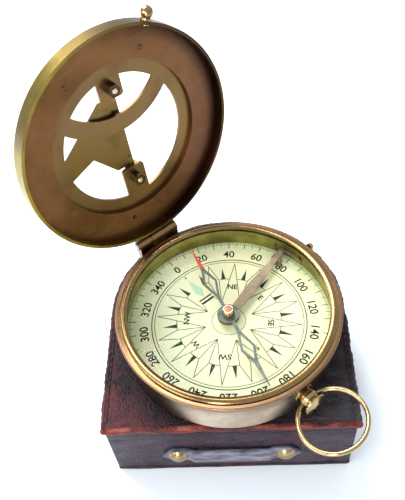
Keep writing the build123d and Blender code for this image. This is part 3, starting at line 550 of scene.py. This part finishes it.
fold = off_multiple(45.0).call("ABSOLUTE")
back_fold = 22.5 - fold
point_along = radius * (fold * RADIAN).call("COSINE")
point_across = radius * (fold * RADIAN).call("SINE")
gap_along = radius * (back_fold * RADIAN).call("COSINE")
gap_across = radius * (back_fold * RADIAN).call("SINE")
star = line(slant(point_along, point_across, star_tip, 10.4)) * between(radius, star_root, star_tip + 0.1)
star += line(slant(gap_along, gap_across, star_tip, 14.83)) * between(gap_along, star_knee, star_tip + 0.1)
star += line(slant(gap_along, gap_across, star_root, -11.08)) * between(gap_along, star_root, star_knee)
star += line(radius - wedge_ring) * between(fold, 4.6, 16.5)
wedge_off = (radius * ((fold - 11.25) * RADIAN).call("SINE")).call("ABSOLUTE")
wedges = (wedge_off < (wedge_tip - radius) * 0.16) * between(radius, wedge_ring, wedge_tip)
circles = line(radius - hub_ring, 0.16) + line(radius - fine_ring, 0.20) + line(radius - bold_ring, 0.34)
ticks = sum(
    line(off_multiple(step) * radius * RADIAN, width) * between(radius, start, tick_end)
    for step, start, width in ((1.0, 33.9, 0.17), (10.0, 32.4, 0.30), (5.0, 33.3, 0.22))
)
half_east = east.call("ABSOLUTE")
clear_of_dart = 1 - between(off_multiple(360.0), -13.0, 13.0) * between(radius, 10.6, dart_tip + 1.0)
bars = (half_east < 2.7) * (between(north, 11.0, 11.9) + between(north, 12.6, 13.2))
ink = (star * clear_of_dart + wedges + circles + ticks + bars).call("MINIMUM", 1.0)
dart = (half_east < (dart_tip - north) * 0.26) * between(north, dart_shoulder, dart_tip)
dart += (half_east < (north - dart_heel) * 0.55) * between(north, dart_heel, dart_shoulder)
paper = card.mix(card.noise(25, 2.0).ramp(0.4, 0.6), (0.90, 0.89, 0.54), (0.87, 0.91, 0.60))
paper = card.mix(radius.ramp(30.0, tick_end - 0.1) * 0.5, paper, (0.66, 0.84, 0.48))
paper = card.mix(radius.ramp(tick_end, tick_end + 0.2), paper, (0.55, 0.68, 0.08))
paper = card.mix(dart.call("MINIMUM", 1.0) * 0.7, paper, (0.36, 0.70, 0.48))
fibres = card.noise(0.3, 2.0)
card.finish(card.mix(ink * 0.95, paper, ink_black), 0.5 + fibres * 0.15, fibres, 0.01)
dress(card.material, "dial_card")

# ---------------------------------------------------------------- Card figures
# The card's printed numerals, every twenty degrees with their tops outward, and the initials of each point
# but north, which has the dart. Each is a printed shape just proud of the paper.
figure_ink = Look("printing ink", Specular_IOR_Level=0.05)
figure_ink.finish(figure_ink.mix(figure_ink.noise(1.5), (0.008, 0.010, 0.008), (0.02, 0.025, 0.02)), 0.5)
ink_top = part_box("dial_card")[1][2] + 0.02 * MM
numeral_height = 4.1
numeral_ring = 29.3
initial_height = 2.9
initial_ring = 14.4
points = ("NE", "E", "SE", "S", "SW", "W", "NW")
printed = [(str(degrees), numeral_height, numeral_ring, degrees) for degrees in range(0, 360, 20)]
printed += [(point, initial_height, initial_ring, 45 * k) for k, point in enumerate(points, start=1)]
figures = []
for text, size, reach, degrees in printed:
    angle = north_turn + math.pi / 2 - math.radians(degrees)
    spot = ((stand[0] + reach * math.cos(angle)) * MM, (stand[1] + reach * math.sin(angle)) * MM, ink_top)
    bpy.ops.object.text_add(location=spot, rotation=(0, 0, angle - math.pi / 2))
    figure = bpy.context.object
    figure.data.body = text
    figure.data.size = size * MM
    figure.data.offset = 0.07 * MM
    figure.data.align_x = "CENTER"
    figure.data.align_y = "CENTER"
    bpy.ops.object.convert(target="MESH")
    figures.append(bpy.context.object)
card_figures = join("card_figures", figures, figure_ink.material)
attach(card_figures, "instrument")

# ---------------------------------------------------------------- Wall liner
# The tapered brass sleeve that holds the card down. Its lacquer has gone olive, in light and dark clouds.
liner = Look("olive brass", Metallic=1.0)
liner_cloud = liner.noise(12, 4.0, 0.6)
liner_colour = liner.mix(liner_cloud.ramp(0.4, 0.6), (0.20, 0.17, 0.035), (0.40, 0.36, 0.10))
liner.finish(liner_colour, 0.38 + liner_cloud * 0.2, liner.noise(0.6, 2.0, 0.5, along_z), 0.02)
dress(liner.material, "wall_liner")

# ---------------------------------------------------------------- Pivot post and pins
# Hardened steel turned to a point for the needle, and cut wire for the fulcrum, the hinge and the gnomon.
pin_steel = Look("pin steel", Metallic=1.0)
pin_colour = pin_steel.mix(pin_steel.noise(2.0), (0.26, 0.25, 0.23), (0.48, 0.46, 0.42))
pin_steel.finish(pin_colour, 0.30 + pin_steel.noise(1.0) * 0.2)
dress(pin_steel.material, "pivot_post", "fulcrum_pin", "hinge_pin", "gnomon_pin_south", "gnomon_pin_north")

# ---------------------------------------------------------------- Arrest lever, its bracket and the button
# A strip of browned sheet brass with an eye under the needle, hung in a bent bracket; the button outside the
# wall, bright from use, presses its tail down.
lever = Look("lever brass", Metallic=0.6)
smoke = lever.noise(7, 4.0)
lever_colour = lever.mix(smoke.ramp(0.38, 0.62), (0.20, 0.15, 0.09), (0.40, 0.31, 0.20))
lever.finish(lever_colour, 0.40 + smoke * 0.2, smoke, 0.03)
dress(lever.material, "arrest_lever", "fulcrum_bracket")
button_brass = brass("button brass", (0.42, 0.29, 0.13), (0.18, 0.10, 0.04), 0.6, 0.26, 4.0)
dress(button_brass, "arrest_button")

# ---------------------------------------------------------------- Needle
# A flat pierced steel needle, blued and since dulled to grey-green, with its north point painted red.
needle_turn = north_turn + math.radians(75.5)
paint_start = 21.6
paint_red = (0.66, 0.06, 0.02)
needle = Look("needle steel")
along = (needle.x - stand[0]) * math.cos(needle_turn) + (needle.y - stand[1]) * math.sin(needle_turn)
worn = needle.noise(2.5, 3.0)
steel = needle.mix(worn.ramp(0.35, 0.65), (0.075, 0.095, 0.080), (0.17, 0.20, 0.165))
painted = along.ramp(paint_start, paint_start + 0.8)
needle_colour = needle.mix(painted, steel, paint_red)
needle.finish(needle_colour, 0.34 + worn * 0.2, worn, 0.01, metallic=(1 - painted) * 0.75)
dress(needle.material, "needle")

# ---------------------------------------------------------------- Needle cap and jewel
# A turned brass cap riveted through the needle's hub, with a garnet cup that rides on the post's point.
cap_brass = brass("cap brass", (0.70, 0.50, 0.24), (0.30, 0.18, 0.08), 0.6, 0.22, 3.0)
dress(cap_brass, "needle_cap")
jewel = Look("garnet")
jewel_colour = jewel.mix(jewel.noise(1.4), (0.60, 0.13, 0.10), (0.82, 0.30, 0.24))
jewel.finish(jewel_colour, 0.14 + jewel.noise(0.8) * 0.08)
dress(jewel.material, "cap_jewel")

# ---------------------------------------------------------------- Glass
# A plain disc seated in the lip, nearly clear, with the faintest grey at its surface.
glass = Look("cover glass", IOR=1.5)
haze = glass.noise(18, 2.0)
glass.finish(glass.mix(haze, (0.02, 0.02, 0.02), (0.06, 0.07, 0.06)), haze * 0.03, alpha=0.015 + haze * 0.01)
dress(glass.material, "glass")

# ---------------------------------------------------------------- Bezel
# The turned ring pressed into the lip over the glass, bronzed and rubbed brighter in patches.
bezel_brass = brass("bezel brass", (0.28, 0.18, 0.075), (0.15, 0.085, 0.034), 0.5, 0.22, 20.0)
dress(bezel_brass, "bezel")

# ---------------------------------------------------------------- Pendant and bow
# A turned stud through the drum wall, drilled for a plain ring of drawn wire. Both are golden from handling.
ring_brass = brass("ring brass", (0.42, 0.31, 0.15), (0.16, 0.10, 0.04), 0.55, 0.18, 5.0)
dress(ring_brass, "pendant", "bow_ring")

# ---------------------------------------------------------------- Hinge leaves, screws and rivets
# Bent sheet leaves with rolled knuckles, screwed to the drum and riveted to the lid, browned in patches.
hinge_brass = brass("hinge brass", (0.27, 0.155, 0.07), (0.13, 0.068, 0.03), 0.5, 0.28, 5.0)
dress(hinge_brass, "case_leaf", "case_leaf_screws", "lid_leaf", "lid_leaf_rivets")

# ---------------------------------------------------------------- Lid rim and thumb knob
# Turned brass: yellow down the left side, where the light falls on it, and painted nearly black as shade on
# the rest of the rim.
rim = Look("rim brass", Metallic=1.0)
rim_cloud = rim.noise(18, 4.0, 0.6)
# Painted light and shade: the left side is lit yellow, the rest of the rim is painted nearly black.
painted_lit_left = rim.x.ramp(-18.0, -36.0)
rim_colour = rim.mix(rim_cloud.ramp(0.56, 0.40), (0.31, 0.235, 0.042), (0.20, 0.135, 0.034))
rim_colour = rim.mix((1 - painted_lit_left) * 0.92, rim_colour, (0.055, 0.028, 0.018))
rim.finish(rim_colour, 0.22 + rim_cloud * 0.16, rim.noise(0.6, 2.0, 0.5, along_z), 0.01)
dress(rim.material, "lid_rim")
knob_brass = brass("knob brass", (0.36, 0.25, 0.12), (0.15, 0.09, 0.04), 0.5, 0.16, 3.0)
dress(knob_brass, "thumb_knob")

# ---------------------------------------------------------------- Hour plate, ring plate and ring rivets
# Sawn and filed sheet, chemically browned. The ring runs from ochre at the left to violet at the right, with
# the soft streaks of the cloth that rubbed it and a painted shadow in black along its right edge; the hour
# plate is more olive.
plate = Look("browned plate", Metallic=1.0)
plate_cloud = plate.noise(22, 4.0, 0.55)
streaks = plate.noise(5, 3.0, 0.6, (0.5, 0.5, 1.6))
plate_colour = plate.mix(plate_cloud.ramp(0.38, 0.62), (0.135, 0.062, 0.023), (0.215, 0.100, 0.040))
plate_colour = plate.mix(plate.x.ramp(-30.0, 4.0) * 0.5, plate_colour, (0.150, 0.070, 0.052))
plate_colour = plate.mix(streaks.ramp(0.5, 0.72) * 0.35, plate_colour, (0.23, 0.13, 0.065))
offset = [axis - place for axis, place in zip((plate.x, plate.y, plate.z), middle("ring_plate"))]
# Painted shadow: black along the right edge of the ring, under the rim.
painted_rim_shadow = length(*offset).ramp(32.0, 36.5) * offset[0].ramp(-12.0, 14.0)
plate_colour = plate.mix(painted_rim_shadow * 0.92, plate_colour, (0.020, 0.010, 0.010))
plate.finish(plate_colour, 0.32 + streaks * 0.18, plate.noise(0.5, 2.0, 0.5, (1, 1, 0.25)), 0.008)
dress(plate.material, "ring_plate")
hour_brass = brass("hour plate brass", (0.195, 0.118, 0.048), (0.145, 0.080, 0.036), 0.5, 0.32, 14.0)
dress(hour_brass, "hour_plate")
spot_brass = brass("rivet spots", (0.13, 0.07, 0.04), (0.035, 0.02, 0.014), 0.3, 0.20, 2.0)
dress(spot_brass, "ring_rivets")

# ---------------------------------------------------------------- Gnomon
# The style plate, sawn from sheet and browned, more olive than the lid, folded flat on its two pins.
style_brass = brass("style brass", (0.20, 0.125, 0.040), (0.13, 0.078, 0.026), 0.5, 0.32, 9.0)
dress(style_brass, "gnomon")

# ---------------------------------------------------------------- Gnomon brackets
# Sheet brass bent up at a right angle, one each end of the gnomon, ochre where the browning has worn.
bracket_brass = brass("bracket brass", (0.22, 0.135, 0.058), (0.12, 0.07, 0.03), 0.5, 0.28, 4.0)
dress(bracket_brass, "gnomon_bracket_south", "gnomon_bracket_north")

# ---------------------------------------------------------------- Lug screws and nuts
# Turned screws with hexagon nuts that hold the brackets to the lugs; the nuts are nearly black, the screw
# ends bright.
nut_brass = brass("nut brass", (0.07, 0.045, 0.028), (0.02, 0.013, 0.010), 0.4, 0.20, 2.0)
dress(nut_brass, "lug_nut_south", "lug_nut_north")
screw_brass = brass("screw brass", (0.62, 0.46, 0.34), (0.30, 0.18, 0.11), 0.6, 0.20, 2.0)
dress(screw_brass, "lug_screw_south", "lug_screw_north")

# ---------------------------------------------------------------- Floor, light and camera
# A pale table under soft studio light from behind and the left, seen from above and in front.
bpy.ops.mesh.primitive_plane_add(size=1.6)
floor = bpy.context.object
floor.name = "floor"
table = Look("pale table", Roughness=0.7)
table.finish(table.mix(table.noise(250), (0.84, 0.89, 0.92), (0.88, 0.92, 0.95)))
floor.data.materials.append(table.material)
aim = Vector((0, 0, 0.04))


def soft_light(name, size, power, place, colour=(1, 1, 1)):
    """A rectangular lamp turned towards the object's middle."""
    lamp_data = bpy.data.lights.new(name, "AREA")
    lamp_data.shape = "RECTANGLE"
    lamp_data.size, lamp_data.size_y = size
    lamp_data.energy = power
    lamp_data.color = colour
    lamp = bpy.data.objects.new(name, lamp_data)
    lamp.location = place
    lamp.rotation_euler = (aim - Vector(place)).to_track_quat("-Z", "Y").to_euler()
    bpy.context.collection.objects.link(lamp)


soft_light("key", (0.45, 0.45), 9.0, (-0.28, 0.40, 0.62))
soft_light("fill", (0.6, 0.4), 3.0, (-0.5, -0.35, 0.35), (0.93, 0.96, 1.0))
soft_light("front", (0.10, 0.30), 1.6, (-0.10, -0.55, 0.22))
world = bpy.data.worlds.new("soft studio")
bpy.context.scene.world = world
world.use_nodes = True
backdrop = world.node_tree.nodes["Background"]
backdrop.inputs["Color"].default_value = (0.90, 0.94, 1.0, 1.0)
backdrop.inputs["Strength"].default_value = 0.88

camera_data = bpy.data.cameras.new("camera")
camera = bpy.data.objects.new("camera", camera_data)
bpy.context.collection.objects.link(camera)
eye = Vector((0.00558, -0.13726, 0.23533))
right = Vector((0.99769, 0.00112, -0.06786))
up = Vector((0.04012, 0.79671, 0.60303))
turned_to = Matrix((right, up, right.cross(up))).transposed()
camera.matrix_world = Matrix.Translation(eye) @ turned_to.to_4x4()
camera_data.sensor_fit = "VERTICAL"
camera_data.sensor_height = 24.0
camera_data.lens = 32.13648
camera_data.shift_x = -0.00374
camera_data.shift_y = 0.06
camera_data.clip_start = 0.01
bpy.context.scene.camera = camera
bpy.context.scene.view_settings.view_transform = "Standard"
